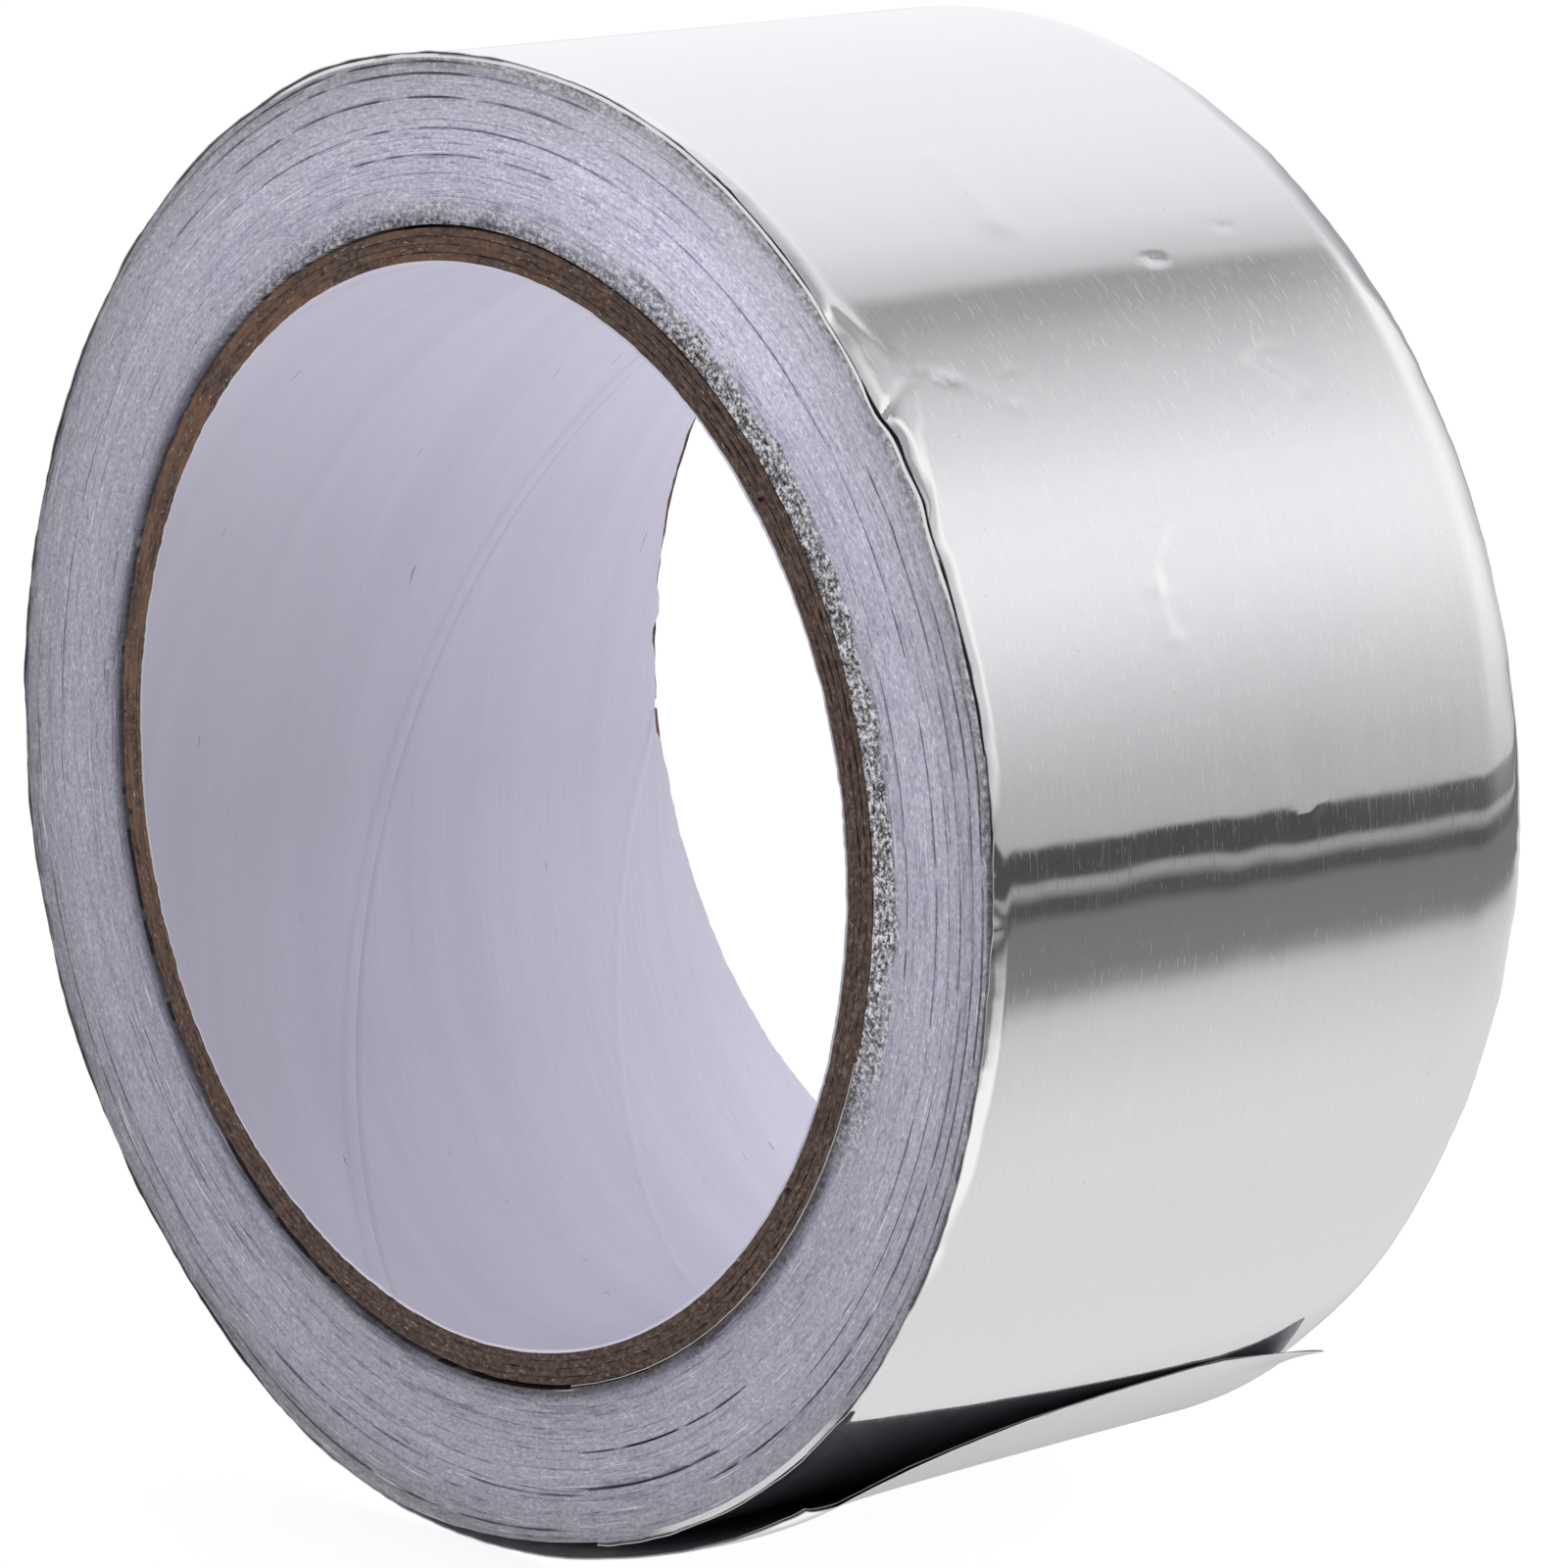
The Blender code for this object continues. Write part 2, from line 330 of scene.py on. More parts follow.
# ---------------------------------------------------------------- materials
def foil_material():
    """Bright rolled foil: fine streaks round the roll, short scratches and a few dark specks."""
    made, tree, shader = material("aluminium_foil")
    around = Around(tree)
    shader.inputs["Metallic"].default_value = 1.0
    streak = around.noise(14.0, 0.30, "y", 3.0, FOIL_REACH)
    fine = around.noise(5.0, 0.10, "y", 1.0, FOIL_REACH)
    patch = around.noise(9.0, 7.0, "y", 3.0, FOIL_REACH)
    tone = mix(tree, spread(tree, streak, 0.3, 0.7), (0.922, 0.922, 0.927), (0.945, 0.945, 0.945))
    speck = around.noise(0.35, 0.3, "y", 2.0, FOIL_REACH, 0.6)
    tone = mix(tree, spread(tree, speck, 0.72, 0.78, 0.0, 0.5), tone, (0.35, 0.35, 0.36))
    dash = around.noise(1.3, 0.10, "y", 1.0, FOIL_REACH)
    dashes = spread(tree, dash, 0.67, 0.79)
    tone = mix(tree, dashes, tone, (1.0, 1.0, 1.0))
    tree.links.new(tone, shader.inputs["Base Color"])
    rough = spread(tree, patch, 0.3, 0.75, 0.030, 0.075)
    rough = math_node(tree, "MULTIPLY_ADD", spread(tree, fine, 0.66, 0.76), 0.10, rough)
    tree.links.new(rough, shader.inputs["Roughness"])
    both = math_node(tree, "MULTIPLY_ADD", dashes, 3.8, streak)
    set_bump(tree, shader, both, 0.0000006)
    return made


def edge_material():
    """The slit edges of the wound turns."""
    made, tree, shader = material("wound_tape_edges")
    around = Around(tree)
    shader.inputs["Metallic"].default_value = 0.2
    shader.inputs["Roughness"].default_value = 0.42
    base = ramp(
        tree,
        spread(tree, around.radius, 40.7, 52.5),
        (
            (0.0, (0.08, 0.078, 0.09)),
            (0.04, (0.20, 0.19, 0.24)),
            (0.11, (0.50, 0.49, 0.59)),
            (0.30, (0.54, 0.53, 0.64)),
            (0.55, (0.57, 0.56, 0.67)),
            (0.70, (0.50, 0.49, 0.58)),
            (0.88, (0.45, 0.445, 0.52)),
            (0.955, (0.34, 0.34, 0.38)),
            (1.0, (0.40, 0.40, 0.44)),
        ),
    )
    # Painted light and shade, fitted: it goes round the roll and is brightest near 60 degrees.
    lit = around.facing(60, -1.0, 1.0)
    shade = ramp(
        tree,
        lit,
        ((0.0, 0.75), (0.25, 0.77), (0.5, 0.82), (0.75, 0.93), (0.9, 1.0), (0.97, 1.12), (1.0, 1.33)),
    )
    tone = mix(tree, 1.0, base, shade, "MULTIPLY")
    grain = around.noise(0.40, 0.20, detail=3.0, rough=0.7)
    grain_tone = ramp(tree, grain, ((0.30, 0.62), (0.46, 0.95), (0.56, 1.05), (0.70, 1.55)))
    tone = mix(tree, 1.0, tone, grain_tone, "MULTIPLY")
    dash = around.noise(5.0, 0.19)
    dash_tone = ramp(tree, dash, ((0.24, 0.50), (0.36, 1.0), (0.66, 1.0), (0.80, 1.25)))
    tone = mix(tree, 1.0, tone, dash_tone, "MULTIPLY")
    # Painted glints: thin bright dashes over the side face.
    glint = around.noise(6.0, 0.12, detail=1.0)
    tone = mix(tree, spread(tree, glint, 0.69, 0.75, 0.0, 0.75), tone, (0.86, 0.86, 0.90))
    # Metal dust beside the core and along the rim, and dark crumbs of board low down.
    pepper = around.noise(0.42, 0.36, detail=3.0, rough=0.8)
    wide = around.noise(4.0, 0.6)
    reach = math_node(tree, "MULTIPLY_ADD", wide, -3.2, around.radius)
    zone = spread(tree, reach, 41.8, 40.9)
    zone = times(tree, zone, around.facing(24, 0.60, 0.84))
    dust = times(tree, spread(tree, reach, 41.2, 39.8, 0.0, 0.55), around.facing(92, 0.70, 0.92))
    crumbs = times(tree, spread(tree, reach, 39.9, 39.0), around.facing(-62, 0.55, 0.80))
    zone = math_node(tree, "MAXIMUM", zone, dust)
    rim = spread(tree, reach, 49.6, 50.6, 0.0, 0.45)
    rim = times(tree, rim, around.facing(35, 0.1, 0.7))
    zone = math_node(tree, "MAXIMUM", zone, rim)
    peppered = ramp(
        tree,
        pepper,
        (
            (0.385, (0.030, 0.022, 0.020)),
            (0.465, (0.17, 0.16, 0.16)),
            (0.53, (0.45, 0.45, 0.49)),
            (0.61, (0.88, 0.88, 0.92)),
        ),
    )
    tone = mix(tree, zone, tone, peppered)
    crumbs = times(tree, crumbs, spread(tree, pepper, 0.54, 0.46))
    tone = mix(tree, crumbs, tone, (0.045, 0.032, 0.028))
    # Painted shade darkens the open gaps, and a painted highlight brightens the outermost turns' edges,
    # which are below 0.
    gap = node(tree, "Attribute", attribute_name="gap_shade_and_glint").outputs["Fac"]
    tone = mix(tree, spread(tree, gap, 0.25, 0.8), tone, (0.03, 0.03, 0.035))
    tone = mix(tree, spread(tree, gap, -0.3, -0.9), tone, (0.88, 0.88, 0.88))
    tree.links.new(tone, shader.inputs["Base Color"])
    set_bump(tree, shader, grain, 0.00004)
    return made


# The lining's strip: its slope, the turn that it makes with its lap, and its width across the seam.
LINING_SLOPE = math.atan2(SEAM_LEAD, 2 * math.pi * BORE_RADIUS)
LINING_TURN = 362.2
LINING_ACROSS = math.radians(LINING_TURN) * BORE_RADIUS * math.sin(LINING_SLOPE)


def board_material():
    """The cut edge of the brown board, with dark and pale fibres."""
    made, tree, shader = material("core_board_edge")
    around = Around(tree)
    shader.inputs["Roughness"].default_value = 0.85
    fibre = around.noise(0.55, 0.30, detail=5.0, reach=BOARD_REACH, rough=0.75)
    blotch = around.noise(5.0, 0.9, reach=BOARD_REACH)
    fleck = around.noise(0.55, 0.14, detail=1.0, reach=BOARD_REACH)
    tone = ramp(
        tree,
        fibre,
        (
            (0.34, (0.018, 0.010, 0.008)),
            (0.46, (0.070, 0.042, 0.032)),
            (0.58, (0.115, 0.074, 0.058)),
            (0.68, (0.24, 0.17, 0.135)),
            (0.78, (0.50, 0.40, 0.33)),
        ),
    )
    warm = times(tree, spread(tree, blotch, 0.42, 0.65, 0.0, 0.8), around.facing(150, 0.1, 0.9))
    tone = mix(tree, warm, tone, (0.20, 0.105, 0.060))
    tone = mix(tree, spread(tree, fleck, 0.705, 0.76, 0.0, 0.75), tone, (0.52, 0.42, 0.34))
    tone = mix(tree, spread(tree, fleck, 0.25, 0.19, 0.0, 0.8), tone, (0.012, 0.008, 0.007))
    tree.links.new(tone, shader.inputs["Base Color"])
    set_bump(tree, shader, fibre, 0.00010)
    return made


def lining_material():
    """Pale lining paper: soft streaks, grain and specks, with painted shade along its seam, a faint
    painted highlight on its lap, and painted light round and along the bore.
    """
    made, tree, shader = material("core_lining_paper")
    shader.inputs["Roughness"].default_value = 0.62
    place = node(tree, "UVMap", uv_map="millimetres").outputs[0]
    across = node(tree, "SeparateXYZ", links={0: place}).outputs[0]
    stretch = node(tree, "VectorMath", {1: (0.10, 0.07, 0)}, {0: place}, operation="MULTIPLY")
    streaks = paper_noise(tree, stretch.outputs[0], 1.0, 2.0)
    emboss = paper_noise(tree, place, 0.45, 3.0, 0.6)
    grain = paper_noise(tree, place, 3.0, 4.0, 0.7)
    speck = paper_noise(tree, place, 0.7, 2.0)
    tone = mix(tree, spread(tree, streaks, 0.3, 0.7), (0.52, 0.508, 0.590), (0.56, 0.548, 0.632))
    tone = mix(tree, spread(tree, grain, 0.35, 0.75, 0.0, 0.12), tone, (0.80, 0.79, 0.86))
    tone = mix(tree, spread(tree, speck, 0.745, 0.77, 0.0, 0.7), tone, (0.10, 0.08, 0.08))
    # Painted shade at the strip's start edge, under the lap.
    low = spread(tree, across, 0.0, 0.35, 0.22, 0.0)
    tone = mix(tree, low, tone, (0.30, 0.29, 0.36))
    # A painted shadow of the lap's step, just beside it.
    beside = times(tree, spread(tree, across, 0.66, 0.74), spread(tree, across, 1.35, 0.85))
    tone = mix(tree, times(tree, beside, 0.20), tone, (0.25, 0.24, 0.32))
    # A faint painted highlight on the lap's edge.
    high = spread(tree, across, LINING_ACROSS - 0.3, LINING_ACROSS - 0.05, 0.0, 0.08)
    tone = mix(tree, high, tone, (0.85, 0.84, 0.90))
    # Painted light and shade, fitted: round the bore, brightest at the bottom and darkest at the sides,
    # and brighter along it from the near end to the far end.
    around = Around(tree)
    bore_light_round = ramp(
        tree,
        spread(tree, around.sin, -1.0, 1.0),
        ((0.0, 1.34), (0.03, 1.28), (0.18, 1.06), (0.41, 0.90), (0.67, 0.95), (0.885, 1.12), (1.0, 1.16)),
    )
    tone = mix(tree, 1.0, tone, bore_light_round, "MULTIPLY")
    bore_light_along = spread(tree, around.y, -25.0, 25.0, 0.92, 1.09)
    tone = mix(tree, 1.0, tone, bore_light_along, "MULTIPLY")
    tree.links.new(tone, shader.inputs["Base Color"])
    set_bump(tree, shader, emboss, 0.00004)
    return made


def liner_material(name, dark, light):
    """Coated liner paper between a dark and a light tone."""
    made, tree, shader = material(name)
    around = Around(tree)
    shader.inputs["Roughness"].default_value = 0.45
    grain = around.noise(1.2, 0.8, "y", 3.0, FOIL_REACH)
    tone = mix(tree, spread(tree, grain, 0.3, 0.7), dark, light)
    tree.links.new(tone, shader.inputs["Base Color"])
    set_bump(tree, shader, grain, 0.00001)
    return made


def adhesive_material():
    """The tape's adhesive: a pale grey with a soft grain."""
    made, tree, shader = material("clear_adhesive")
    around = Around(tree)
    shader.inputs["Roughness"].default_value = 0.25
    grain = around.noise(2.0, 0.5, "y", 2.0, FOIL_REACH)
    tone = mix(tree, spread(tree, grain, 0.3, 0.7), (0.42, 0.42, 0.44), (0.62, 0.62, 0.62))
    tree.links.new(tone, shader.inputs["Base Color"])
    return made


MATERIALS = {
    "foil": foil_material(),
    "wound_edge": edge_material(),
    "core_board": board_material(),
    "core_lining": lining_material(),
    # The release liner's tones are set dark as painted shade for the gap under the free end.
    "release_liner": liner_material("release_liner_paper", (0.20, 0.195, 0.225), (0.28, 0.275, 0.31)),
    "adhesive": adhesive_material(),
}
# Painted shade: the last turn's own liner, which shows only in the gap under the free end, is given a
# darker tone.
GAP_SHADE_LINER = liner_material("gap_shade_liner_paper", (0.05, 0.05, 0.06), (0.12, 0.12, 0.135))


# ---------------------------------------------------------------- the last turn and the free end
# Small marks in the foil: points (angle, y), half width in mm and height in mm (negative is a dent).
MARKS = (
    (((48.5, 5.9), (48.1, 6.5)), 0.35, -0.10),
    (((50.8, 14.1), (50.5, 14.6)), 0.30, -0.06),
    (((39.6, 11.3), (38.9, 12.0)), 0.30, -0.035),
    (((38.6, 9.6), (37.0, 11.2), (35.4, 12.6)), 0.60, -0.035),
    (((40.5, -18.3), (39.9, -17.3)), 0.30, -0.11),
    (((40.4, -12.3), (40.1, -12.3)), 0.22, -0.030),
    (((37.6, -13.2), (37.4, -12.9)), 0.25, -0.035),
    (((41.4, -20.2), (40.8, -18.3)), 0.30, -0.022),
    (((39.7, -17.2), (38.4, -15.0), (36.6, -12.7)), 0.30, -0.022),
    (((61.0, -5.0), (54.0, -5.1)), 1.30, 0.07),
    (((26.3, -5.0), (24.6, -6.6), (22.4, -7.1)), 0.45, 0.07),
    (((22.4, -7.0), (20.2, -6.9), (18.3, -6.5)), 0.35, 0.05),
    (((24.0, -5.4), (22.2, -5.6)), 0.30, -0.05),
    (((21.0, -6.1), (19.0, -5.6)), 0.30, -0.04),
    (((4.3, 3.6), (3.9, 4.2), (4.8, 4.9)), 0.22, 0.03),
    (((47.5, -23.6), (44.4, -22.6), (41.9, -21.7), (39.6, -21.8), (37.5, -22.4)), 0.55, 0.05),
    (((36.8, -22.8), (34.4, -23.2), (31.9, -23.7)), 0.40, 0.04),
    (((40.3, -21.9), (37.8, -24.9)), 0.28, -0.07),
    (((42.5, -23.9), (39.4, -23.6)), 0.90, -0.05),
    (((-31.1, -25.0), (-32.7, -1.5), (-33.6, 24.0)), 0.28, 0.035),
    (((-32.2, -25.0), (-33.3, -6.0), (-34.6, 25.0)), 0.22, -0.030),
    (((-29.9, -20.0), (-32.0, 4.0), (-32.6, 20.0)), 0.22, -0.018),
)
# Radii of the last turn's foil: its middle, and its near and far edges, by angle.
BODY = (
    (-76, 51.95), (-60, 51.98), (-48, 52.08), (-16, 52.42), (20, 52.70), (60, 52.6), (106, 52.55),
    (150, 52.2), (190, 52.35), (230, 52.6), (262, 52.88), (284, 52.94),
)
NEAR_EDGE = (
    (-76, 52.0), (-60, 52.05), (-48, 52.15), (-30, 52.25), (-16, 52.2), (-4, 52.2), (3.5, 52.45),
    (10, 52.75), (16, 52.95), (23, 53.0), (26, 52.9), (29, 53.05), (31, 53.4), (33.5, 53.25),
    (36.5, 53.2), (38.2, 52.75), (41.5, 52.8), (46, 52.75), (49, 52.98), (52, 53.0), (60, 53.1),
    (66, 53.1), (72, 52.95), (80, 52.8), (90, 52.7), (100, 52.8), (108, 53.0), (116, 52.75),
    (124, 52.65), (140, 52.4), (150, 52.25), (172, 52.3), (188, 52.5), (200, 52.65), (238, 52.65),
    (246, 53.1), (254, 53.15), (262, 53.05), (270, 52.92), (284, 52.94),
)
FAR_EDGE = (
    (-76, 51.8), (-48, 51.8), (-28, 51.8), (-12, 52.05), (0, 52.25), (20, 52.25), (44, 52.1), (60, 52.0),
    (84, 52.25), (106, 52.3), (150, 52.1), (190, 52.2), (230, 52.3), (262, 52.4), (284, 52.35),
)
# How far in from each edge the foil starts to bend up or down to it, in mm, by angle.
FAR_ROLL_WIDTH = (
    (-76, 5.0), (-30, 5.0), (-8, 4.0), (20, 3.0), (45, 2.8), (60, 2.6), (100, 2.6), (284, 2.6),
)
NEAR_ROLL_WIDTH = (
    (-76, 1.2), (20, 1.2), (30, 1.4), (37, 2.4), (41, 3.2), (45, 2.4), (52, 2.2), (64, 2.0), (74, 1.3),
    (284, 1.3),
)
# The free end at its cut: its radius at the far edge, how much further out its near edge would stand
# and how sharply that rises towards it, how much the near corner curls back in, and the power of the
# rise along the end.
END_FLAT = 52.26
END_LIFT = 3.8
END_SHARPNESS = 2.7
END_CURL = 0.8
END_RISE = 1.6
# Where the last turn's far side starts to come in, and by how much at the hinge.
TAIL_START = 245
TAIL_DROP = 0.5


def mark_height(angle, y):
    """The marks' heights at each place, from the distance to each mark's line."""
    total = np.zeros(np.broadcast(angle, y).shape)
    scale = math.radians(1) * FOIL_RADIUS
    for points, half_width, height in MARKS:
        away = np.full(total.shape, 1e9)
        for (a0, y0), (a1, y1) in zip(points, points[1:]):
            px, py = (angle - a0) * scale, y - y0
            dx, dy = (a1 - a0) * scale, y1 - y0
            t = np.clip((px * dx + py * dy) / (dx * dx + dy * dy), 0, 1)
            away = np.minimum(away, np.hypot(px - t * dx, py - t * dy))
        total += height * np.exp(-((away / half_width) ** 2))
    return total


def body_radius(angle, y):
    """The foil's face before its edges and marks: the last turn, then the free end off the roll."""
    across = (y + HALF_WIDTH) / (2 * HALF_WIDTH)
    tail = np.clip((angle - TAIL_START) / (LAST_TURN_END - TAIL_START), 0, 1)
    on_roll = smooth_table(angle, *zip(*BODY)) - TAIL_DROP * tail**2 * (3 - 2 * tail) * across**0.8
    along = np.clip((angle - LAST_TURN_END) / END_ARC, 0, 1.2)
    at_cut = END_FLAT + END_LIFT * np.clip(1 - across, 0, 1) ** END_SHARPNESS
    at_cut = at_cut - END_CURL * np.clip((-23.2 - y) / 1.8, 0, 1) ** 1.5
    return on_roll + (at_cut - on_roll) * along**END_RISE


def skin_radius(angle, y, marks=True):
    """The radius of the foil's outer face at each angle and place along the axis."""
    angle, y = np.broadcast_arrays(np.asarray(angle, float), np.asarray(y, float))
    arc = np.radians(angle) * FOIL_RADIUS
    middle = smooth_table(angle, *zip(*BODY))
    on_end = np.clip((angle - 270) / 14, 0, 1)
    radius = body_radius(angle, y)
    radius = radius + 0.020 * wander2(arc / 17 + 31, y / 23 + 7, 11)
    radius = radius + 0.004 * wander2(arc / 5 + 90, y / 9 + 3, 12)
    width = np.interp(angle, *zip(*NEAR_ROLL_WIDTH))
    near = np.clip((width - (y + HALF_WIDTH)) / width, 0, 1)
    width = np.interp(angle, *zip(*FAR_ROLL_WIDTH))
    far = np.clip((y - HALF_WIDTH + width) / width, 0, 1)
    off_floor = 1 - window(angle, 256, 290, 10)
    flare = (smooth_table(angle, *zip(*NEAR_EDGE)) - middle) * (1 - on_end)
    radius = radius + flare * near**1.7
    rim = 0.65 * far**1.8 + 0.35 * far**12
    radius = radius + (smooth_table(angle, *zip(*FAR_EDGE)) - middle) * rim * (1 - on_end)
    # A slight twist and waves of the foil near angle 2 slope and ripple the bands mirrored there.
    from_band = np.radians(angle - 2) * FOIL_RADIUS
    twist = 0.0158 * (y + 12) / 28
    waves = 0.0035 * wander(y / 2.8 + 30, 17) + 0.0018 * wander(y / 0.9 + 60, 18)
    radius = radius - twist * from_band * np.exp(-((from_band / 11) ** 2))
    radius = radius - waves * from_band * np.exp(-((from_band / 6) ** 2))
    ragged = wander2(arc / 1.7 + 200, y / 2.5 + 60, 13) * 0.06 + wander(arc / 7 + 80, 14) * 0.04
    calm = (1 - 0.6 * window(angle, 120, 300, 10)) * (1 - 0.75 * window(angle, -14, 12, 6))
    radius = radius + ragged * near**1.3 * off_floor * calm
    radius = radius + 0.04 * wander(arc / 3.1 + 300, 15) * far**2 * off_floor
    crumple = window(angle, 26, 52, 6) * np.clip(1 - (y + HALF_WIDTH) / 2.6, 0, 1) ** 1.2
    radius = radius + crumple * 0.09 * wander2(arc / 2.4 + 40, y / 1.7 + 50, 16)
    if marks:
        radius = radius + mark_height(angle, y)
    return radius


def edge_y(angle, y):
    """Small wander of the slit edges along the axis."""
    arc = np.radians(angle) * FOIL_RADIUS
    near = np.clip((2.0 - (y + HALF_WIDTH)) / 2.0, 0, 1)
    far = np.clip((y - HALF_WIDTH + 2.0) / 2.0, 0, 1)
    shift = near * (0.10 * wander(arc / 3.3 + 500, 21) + 0.05 * wander(arc / 0.8 + 900, 22))
    shift = shift + far * (0.08 * wander(arc / 4.1 + 500, 23) + 0.04 * wander(arc / 0.9 + 900, 24))
    return y + shift


def columns(middle_step):
    """Places across the tape, close together at the edges."""
    edge = np.array([0, 0.12, 0.3, 0.5, 0.72, 0.95, 1.2, 1.45, 1.7, 2.0, 2.3, 2.7, 3.2, 3.8, 4.5, 5.3])
    inner = HALF_WIDTH - edge[-1]
    count = int(round(2 * inner / middle_step))
    middle = np.linspace(-inner, inner, count + 1)[1:-1]
    return np.concatenate([-HALF_WIDTH + edge, middle, HALF_WIDTH - edge[::-1]])


def cut_shift(y):
    """How far the free end's cut edge strays, in degrees, with a nick out of the near corner."""
    wavy = 0.22 * wander(y / 6 + 40, 31) + 0.10 * wander(y / 1.6 + 70, 32)
    nick = -1.3 * np.clip((-y - 23.4) / 1.2, 0, 1)
    bites = -0.35 * np.exp(-(((y + 2.0) / 0.5) ** 2)) - 0.25 * np.exp(-(((y - 2.9) / 0.4) ** 2))
    return wavy + nick + bites


def layer(name, start, end, step, cols, outer, inner, slot, nodes, extra=None, marks=True):
    """One layer of the web from one angle to another, between two depths under the foil's face."""
    count = max(2, int(round((end - start) * math.radians(FOIL_RADIUS) / step)))
    angle, y = np.meshgrid(np.linspace(start, end, count + 1), cols, indexing="ij")
    if end > LAST_TURN_END:
        angle = angle + cut_shift(y) * np.clip((angle - LAST_TURN_END) / END_ARC, 0, 1) ** 2
    radius = skin_radius(angle, y, marks)
    if extra is not None:
        radius = radius + extra(angle, y)
    place = edge_y(angle, y)
    top = polar(radius - outer, angle, place)
    bottom = polar(radius - inner, angle, place)
    return sheet(name, top, bottom, MATERIALS[slot], nodes)


def sink(angle, y):
    """Holds a hidden layer clear of the foil's marks, away from its edges."""
    inside = np.clip((HALF_WIDTH - np.abs(y) - 0.4) / 2.0, 0, 1)
    lifted = np.clip((angle - LAST_TURN_END) / 6.0, 0, 1)
    return -0.12 * inside * (1 - lifted)


def liner_sag(angle, y):
    """How far the liner hangs away from the free end's foil."""
    along = np.clip((angle - LAST_TURN_END) / END_ARC, 0, 1.1)
    near_share = np.clip((15 - y) / 35, 0, 1)
    loose = 0.04 + 0.14 * near_share + 0.10 * wander(y / 3.4 + 11, 33)
    return sink(angle, y) - loose * along**2


def far_curl(angle, y):
    """The free end's far corner curls a little off the roll."""
    along = np.clip((angle - FREE_END + 5.0) / 5.0, 0, 1.1)
    return 1.3 * along**1.5 * np.clip((y - 15.0) / 10.0, 0, 1) ** 1.6


def liner_end_shape(angle, y):
    """The free end's liner hangs off the foil and curls with it."""
    return liner_sag(angle, y) + far_curl(angle, y)


# Places across the tape, the steps along it, and the depths of the layers under the foil's face.
FINE = columns(0.75)
COARSE = columns(4.0)
FINE_STEP = 0.32
END_STEP = 0.5
BACK_STEP = 0.7
GLUE_TOP, GLUE_LOW = FOIL + LAYER_GAP, FOIL + ADHESIVE
LINER_TOP, LINER_LOW = GLUE_LOW + LAYER_GAP, GLUE_LOW + LINER

turn_pieces = [
    layer("foil_face_front", LIFT_ANGLE, BACK_JOIN, FINE_STEP, FINE, 0, FOIL, "foil", ["last_turn_foil"]),
    layer("foil_face_back", BACK_JOIN, BLEND_JOIN, BACK_STEP, FINE, 0, FOIL, "foil", ["last_turn_foil"]),
    layer("last_turn_glue", LIFT_ANGLE, BLEND_JOIN, BACK_STEP, COARSE, GLUE_TOP, GLUE_LOW, "adhesive",
          ["last_turn_adhesive"], sink, False),
    layer("last_turn_liner", LIFT_ANGLE, BLEND_JOIN, BACK_STEP, COARSE, LINER_TOP, LINER_LOW,
          "release_liner", ["last_turn_release_liner"], sink, False),
]
for piece in turn_pieces:
    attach(piece, "roll")
# The last turn's liner takes the darker liner, painted shade for the gap under the free end.
turn_pieces[-1].data.materials[0] = GAP_SHADE_LINER

end_foil = layer("free_end_foil", BLEND_JOIN, FREE_END, FINE_STEP, FINE, 0, FOIL, "foil",
                 ["tape_end_foil"], far_curl)
end_glue = layer("free_end_glue", BLEND_JOIN, FREE_END, END_STEP, COARSE, GLUE_TOP, GLUE_LOW, "adhesive",
                 ["tape_end_adhesive"], lambda a, y: sink(a, y) + far_curl(a, y), False)
end_liner = layer("free_end_liner", BLEND_JOIN, FREE_END, END_STEP, COARSE, LINER_TOP, LINER_LOW,
                  "release_liner", ["tape_end_release_liner"], liner_end_shape, False)


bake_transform(end_foil)
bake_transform(end_glue)
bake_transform(end_liner)


# ---------------------------------------------------------------- the wound turns
# Open gaps between turns on the near side face: radius in mm, start angle, and run in degrees.
GAPS = (
    (44.0, -6, 34), (46.9, -24, 90), (45.4, -74, 22), (48.0, -42, 50), (49.0, -4, 40), (49.4, -58, 50),
    (50.2, -22, 44), (51.0, -40, 58), (51.5, -30, 40), (47.9, -76, 20), (45.6, 64, 46), (47.5, 70, 56),
    (49.3, 60, 74), (50.6, 74, 50), (51.2, 92, 50), (51.4, 150, 60), (50.4, 170, 66), (49.2, 206, 60),
    (47.6, 150, 30), (50.9, 236, 44), (48.3, 246, 36), (45.2, 210, 24), (51.5, 46, 30),
)
# How far the wound turns stop short of the last turn's foil at the near edge, in mm, by angle, and
# how far at the far edge and where the last turn starts.
EDGE_GAP = (
    (-76, 0.17), (-5, 0.19), (0, 0.34), (5, 0.52), (8, 0.50), (11, 0.34), (15, 0.40), (20, 0.54),
    (24, 0.46), (28, 0.46), (32, 0.58), (36, 0.58), (40, 0.42), (44, 0.22), (50, 0.30), (64, 0.30),
    (74, 0.17), (98, 0.17), (104, 0.28), (112, 0.26), (118, 0.17), (240, 0.18), (284, 0.20),
)
FAR_EDGE_GAP = 0.24
START_GAP = 0.25
# Between the side faces the turns' outer wall keeps this far under the last turn's face, as far as
# this to either side of the middle.
UNDER_GAP = 0.40
WALL_PLACE = 22.0


def pack_edge(theta, side):
    """The outermost wound turn's radius at the near (-1) or far (1) side face."""
    if side > 0:
        radius = smooth_table(theta, *zip(*FAR_EDGE)) - FAR_EDGE_GAP
    else:
        radius = smooth_table(theta, *zip(*NEAR_EDGE)) - np.interp(theta, *zip(*EDGE_GAP))
    meets = np.clip((theta - 258) / 26, 0, 1)
    return radius + (BODY[0][1] - START_GAP - radius) * meets * meets * (3 - 2 * meets)


# Points round a turn, how far the edges stay inside the width, and the depth of an open gap.
TURNS_ANGLES = 901
TURNS_INSET = 0.02
GAP_DEPTH = 0.8


